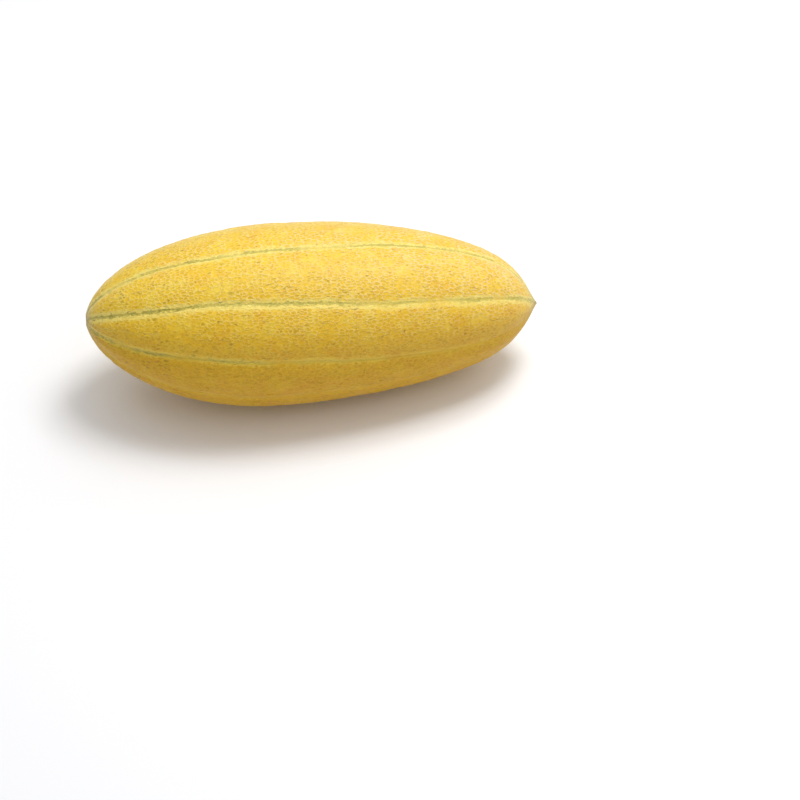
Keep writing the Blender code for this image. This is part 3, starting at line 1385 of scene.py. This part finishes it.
@dataclass
class Rind:
    """The whole fruit's surface with its net at real size, as one closed mesh.

    Attributes:
        fruit: The plain fruit.
        sutures: Its sunken lines.
        scar: Its stem scar.
        nub: Its blossom nub.
        pattern: The net's cells.
        strength: How strongly the net stands out.
        green_cells: Which cells are still green.
        skin_lift: Height of the skin between the net, off the plain profile.
        net_height: Height of a strong net line above the skin.
        uneven: Depths of the fruit's broad unevenness, each with the wavelength it comes in.
        end_tan: How tan the rind is at both ends.
        stem_reach: Radius round the stem scar in which the rind turns tan.
        tip_reach: The same round the blossom nub.
        lit_side_angle: Angle from the top of the side that faces the light, which the skin's painted
            highlight and painted shade follow.
        wobble_length: Distance over which an end ring's roughness changes.
        wobble_aside: Share of that roughness that goes sideways.
        seed: Seed of the random draws.
    """

    fruit: FruitShape = field(default_factory=FruitShape)
    sutures: Sutures = field(default_factory=Sutures)
    scar: StemScar = field(default_factory=StemScar)
    nub: BlossomNub = field(default_factory=BlossomNub)
    pattern: NetPattern = field(default_factory=NetPattern)
    strength: NetStrength = field(default_factory=NetStrength)
    green_cells: GreenCells = field(default_factory=GreenCells)
    skin_lift: float = 0.22 * MM
    net_height: float = 0.34 * MM
    uneven: tuple[tuple[float, float], ...] = ((0.40 * MM, 0.055), (0.16 * MM, 0.016))
    end_tan: float = 0.85
    stem_reach: float = 10 * MM
    tip_reach: float = 9 * MM
    # Painted light: the side whose skin is painted paler as highlight, with painted shade on the opposite
    # side.
    lit_side_angle: float = math.radians(-30)
    wobble_length: float = 2.2 * MM
    wobble_aside: float = 0.6
    seed: int = 5

    def build(self) -> bpy.types.Object:
        """Builds and dresses the fruit.

        Returns:
            The fruit as one mesh object.
        """
        self.resting = Resting(self.fruit)
        self.even = EvenMap(self.fruit, self.scar.ring_radius, self.nub.ring_radius)
        self.pattern.build(self.fruit, self.sutures, self.even)
        self.lay_net()
        stem, tip = self.pattern.end_rings()
        self.close_end(stem[::-1], self.scar, -1)
        self.close_end(tip, self.nub, 1)
        self.centre()
        return self.to_object()

    def lay_net(self) -> None:
        """Lays out the net's crossings, the middles of its cells and the bends of its lines."""
        pattern = self.pattern
        kinds = (pattern.crossings, pattern.middles[: pattern.cells], pattern.bends)
        count, cells, bends = (len(kind) for kind in kinds)
        rise, angle = np.concatenate(kinds).T
        for ring, end in zip(pattern.end_rings(), (0.0, self.even.rises[-1])):
            rise[ring] = end
        rise = np.clip(rise, 0, self.even.rises[-1])
        on_net = np.concatenate([np.ones(count), np.zeros(cells), np.ones(bends)])
        own = np.concatenate([np.ones(count + cells), pattern.bend_strength])
        self.place_net(rise, angle, on_net, own)
        self.join_net(count, count + cells)

    def place_net(self, rise: Array, angle: Array, on_net: Array, own: Array) -> None:
        """Places the net's points on the fruit, and measures what the finish needs to know of them.

        Args:
            rise: Their map heights.
            angle: Their angles.
            on_net: 1 for the points on the net, and 0 for the middles of cells.
            own: The strength that each has of its own.
        """
        share = self.even.share_at_rise(rise)
        radius = self.fruit.radius(share)
        arc = self.even.arc_at_rise(rise)
        plain = self.fruit.points(share, angle, np.zeros_like(share))
        line, turn = self.sutures.nearest(share, angle)
        gap = turn * radius
        strength = self.strength.at(plain, gap / self.sutures.crease_reach, radius) * own
        relief = self.sutures.lift(self.fruit, share, angle)
        for depth, wavelength in self.uneven:
            relief = relief - depth * (0.5 + 0.5 * noise_at(plain, wavelength, self.seed))
        net = self.skin_lift + self.net_height * strength * on_net
        self.points = self.resting.placed(share, angle, relief, net)
        reach = np.where(share > 0.5, self.tip_reach, self.stem_reach)
        self.measures = {
            "edge": on_net,
            "net": strength,
            "gap": gap / MM,
            "along": arc / MM,
            "line": self.sutures.green(share, line, arc),
            "pale": self.sutures.pale(line),
            "tone": self.cell_tones(on_net),
            "fleck": self.fleck_cells(on_net, self.green_cells.share(arc, gap, plain)),
            "end": self.end_tan * np.exp(-((radius / reach) ** 2)),
            # How squarely each point faces the lit top-back side; the skin's painted highlight and painted
            # shade follow it.
            "lit_side": np.cos(angle - self.lit_side_angle),
        }

    def join_net(self, first_cell: int, first_bend: int) -> None:
        """Joins each cell's middle with the lines round it, in two faces where a line has a bend.

        Args:
            first_cell: Number of the first cell's middle among the points.
            first_bend: Number of the first bend.
        """
        pattern = self.pattern
        here = pattern.crossing
        after = here[pattern.following]
        middle = first_cell + pattern.owner
        bend = first_bend + pattern.line
        first = np.stack([here, bend, middle], axis=1)[pattern.shared]
        second = np.stack([bend, after, middle], axis=1)[pattern.shared]
        straight = np.stack([here, after, middle], axis=1)[~pattern.shared]
        self.faces = np.concatenate([first, second, straight]).tolist()
        self.finishes = [Finish.SKIN.value] * len(self.faces)

    def cell_tones(self, on_net: Array) -> Array:
        """A random tone for the middle of each cell, from -1 to 1, and 0 on the net."""
        draw = np.random.default_rng(self.seed)
        return np.where(on_net, 0.0, draw.uniform(-1, 1, len(on_net)))

    def fleck_cells(self, on_net: Array, share: Array) -> Array:
        """1 in the middle of the cells that are still green, and 0 elsewhere."""
        draw = np.random.default_rng(self.seed + 1)
        return np.where(on_net, 0.0, draw.random(len(on_net)) < share)

    def close_end(self, ring: Array, end: StemScar | BlossomNub, outward: int) -> None:
        """Closes an open end with its rings.

        Args:
            ring: The crossings round the open end, in order.
            end: The end piece.
            outward: 1 where the axis leaves the fruit towards its tip, and -1 at its stem.
        """
        along = self.resting.turned(np.array([[float(outward), 0.0, 0.0]]))[0]
        centre = self.points[ring].mean(axis=0)
        spokes = self.points[ring] - centre
        spokes -= np.outer(spokes @ along, along)
        spokes /= np.linalg.norm(spokes, axis=1)[:, None]
        previous = ring
        for step in end.rings:
            points = centre + along * (step.beyond * MM) + spokes * (step.radius * MM)
            wobble = noise_at(points, self.wobble_length, self.seed)[:, None] * (step.rough * MM)
            current = self.add_points(points + along * wobble + spokes * wobble * self.wobble_aside, ring)
            following = np.roll(np.arange(len(ring)), -1)
            bands = np.stack([previous, previous[following], current[following], current], axis=1)
            self.faces += bands.tolist()
            self.finishes += [step.finish.value] * len(ring)
            previous = current
        tip = self.add_points((centre + along * end.middle)[None], ring[:1])[0]
        for i in range(len(ring)):
            self.faces.append([int(previous[i]), int(previous[(i + 1) % len(ring)]), int(tip)])
            self.finishes.append(end.rings[-1].finish.value)

    def add_points(self, points: Array, like: Array) -> Array:
        """Adds points that take their measures from others.

        Args:
            points: The new points.
            like: The numbers of those others, at least as many.

        Returns:
            The new points' numbers.
        """
        numbers = np.arange(len(self.points), len(self.points) + len(points))
        self.points = np.concatenate([self.points, points])
        for name, values in self.measures.items():
            self.measures[name] = np.concatenate([values, values[like[: len(points)]]])
        return numbers

    def centre(self) -> None:
        """Moves the fruit level until its box has the same middle as the solid's."""
        low, high = (np.array(corner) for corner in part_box(NODE))
        shift = (low + high) / 2 - (self.points.min(axis=0) + self.points.max(axis=0)) / 2
        self.points[:, :2] += shift[:2]

    def to_object(self) -> bpy.types.Object:
        """Makes the mesh object with its measures and finishes.

        Returns:
            The object.
        """
        mesh = bpy.data.meshes.new("melon_rind")
        mesh.from_pydata(self.points.tolist(), [], self.faces)
        for name, values in self.measures.items():
            layer = mesh.attributes.new(name, "FLOAT", "POINT")
            layer.data.foreach_set("value", values.astype(np.float32))
        mesh.polygons.foreach_set("material_index", np.array(self.finishes, np.int32))
        mesh.shade_smooth()
        cork = DryFinish("melon_cork", colour(196, 168, 112), colour(128, 98, 52))
        nub = DryFinish("melon_nub", colour(170, 158, 106), colour(124, 112, 66))
        for finish in (SkinFinish(), cork, nub):
            mesh.materials.append(finish.material())
        rind = bpy.data.objects.new("melon_rind", mesh)
        bpy.context.scene.collection.objects.link(rind)
        return rind


@dataclass(frozen=True)
class Floor:
    """The plain pale floor.

    Attributes:
        half_width: Half its side.
        drop: How far it lies below the fruit, so that the two faces don't coincide.
        tone: Its colour.
        roughness: How dull it is.
        grain_scale: How many grains there are to a metre.
        grain_depth: Their depth.
    """

    half_width: float = 6.0
    drop: float = 0.1 * MM
    tone: Colour = (0.94, 0.94, 0.95, 1.0)
    roughness: float = 0.9
    grain_scale: float = 900
    grain_depth: float = 0.02 * MM

    def build(self) -> bpy.types.Object:
        """Builds the floor.

        Returns:
            The floor as one mesh object.
        """
        signs = ((-1, -1), (1, -1), (1, 1), (-1, 1))
        corners = [(x * self.half_width, y * self.half_width, -self.drop) for x, y in signs]
        mesh = bpy.data.meshes.new("floor")
        mesh.from_pydata(corners, [], [(0, 1, 2, 3)])
        board = Board("floor_paper")
        grain = board.noise(board.place(), self.grain_scale, 3, 0.6)
        normal = board.bump(grain, self.grain_depth)
        mesh.materials.append(board.finish(self.tone, self.roughness, normal))
        floor = bpy.data.objects.new("floor", mesh)
        bpy.context.scene.collection.objects.link(floor)
        return floor


@dataclass(frozen=True)
class Lamp:
    """One soft square lamp that faces the fruit.

    Attributes:
        name: Its name.
        place: Where it stands.
        side: Length of its side.
        watts: Its power.
    """

    name: str
    place: tuple[float, float, float]
    side: float
    watts: float

    def build(self, target: Vector) -> None:
        """Builds the lamp.

        Args:
            target: What it is turned towards.
        """
        data = bpy.data.lights.new(self.name, "AREA")
        data.shape = "SQUARE"
        data.size = self.side
        data.energy = self.watts
        lamp = bpy.data.objects.new(self.name, data)
        lamp.location = self.place
        lamp.rotation_mode = "QUATERNION"
        lamp.rotation_quaternion = (target - lamp.location).to_track_quat("-Z", "Y")
        bpy.context.scene.collection.objects.link(lamp)


@dataclass(frozen=True)
class Studio:
    """Plain soft studio light: a large lamp nearly overhead, a wide weak one and a pale surround.

    Attributes:
        lamps: The lamps.
        surround: Strength of the surround.
        tint: Its colour.
    """

    lamps: tuple[Lamp, ...] = (
        Lamp("overhead_lamp", (0.44, 0.20, 1.55), 0.62, 14.3),
        Lamp("ceiling_lamp", (0.60, 0.15, 2.0), 4.0, 28.0),
    )
    surround: float = 0.40
    tint: Colour = (0.97, 0.98, 1.0, 1.0)

    def build(self, target: Vector) -> None:
        """Builds the light.

        Args:
            target: What the lamps are turned towards.
        """
        for lamp in self.lamps:
            lamp.build(target)
        world = bpy.data.worlds.new("studio")
        world.use_nodes = True
        background = world.node_tree.nodes["Background"]
        background.inputs["Color"].default_value = self.tint
        background.inputs["Strength"].default_value = self.surround
        bpy.context.scene.world = world
        bpy.context.scene.view_settings.view_transform = "Standard"


@dataclass(frozen=True)
class PhotoCamera:
    """The camera that sees the fruit as the photograph does.

    Attributes:
        azimuth: Degrees round the fruit, 0 looking along +Y.
        elevation: Degrees above the floor.
        distance: From the fruit's middle to the camera.
        view_width: Width of the view at that distance.
        aside: How far right of the fruit's middle the camera looks.
        below: How far below it the camera looks, across the line of sight.
        sensor: Width of the camera's sensor, in millimetres.
    """

    azimuth: float = -7.6
    elevation: float = 47.0
    distance: float = 1.6
    view_width: float = 0.597
    aside: float = 0.0638
    below: float = 0.0672
    sensor: float = 36.0

    def build(self, middle: Vector) -> None:
        """Builds the camera, and makes it the scene's.

        Args:
            middle: The fruit's middle.
        """
        azimuth, elevation = math.radians(self.azimuth), math.radians(self.elevation)
        level = math.cos(elevation)
        back = Vector((math.sin(azimuth) * level, -math.cos(azimuth) * level, math.sin(elevation)))
        rotation = (-back).to_track_quat("-Z", "Y")
        right = rotation @ Vector((1, 0, 0))
        up = rotation @ Vector((0, 1, 0))
        data = bpy.data.cameras.new("photo_camera")
        data.sensor_width = self.sensor
        data.lens = self.sensor * self.distance / self.view_width
        data.dof.use_dof = False
        camera = bpy.data.objects.new("photo_camera", data)
        camera.location = middle + back * self.distance + right * self.aside - up * self.below
        camera.rotation_mode = "QUATERNION"
        camera.rotation_quaternion = rotation
        bpy.context.scene.collection.objects.link(camera)
        bpy.context.scene.camera = camera


def main() -> None:
    """Builds the fruit, the floor, the light and the camera."""
    logging.basicConfig(level=logging.INFO, format="%(name)s: %(message)s")
    rind = Rind().build()
    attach(rind, BODY)
    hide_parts(NODE)
    triangles = sum(len(polygon.vertices) - 2 for polygon in rind.data.polygons)
    LOG.info("%s: %d triangles, %d points", rind.name, triangles, len(rind.data.vertices))
    floor = Floor().build()
    LOG.info("%s: plain stage", floor.name)
    low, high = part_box(NODE)
    middle = (low + high) / 2
    Studio().build(middle)
    PhotoCamera().build(middle)


if __name__ == "__main__":
    main()
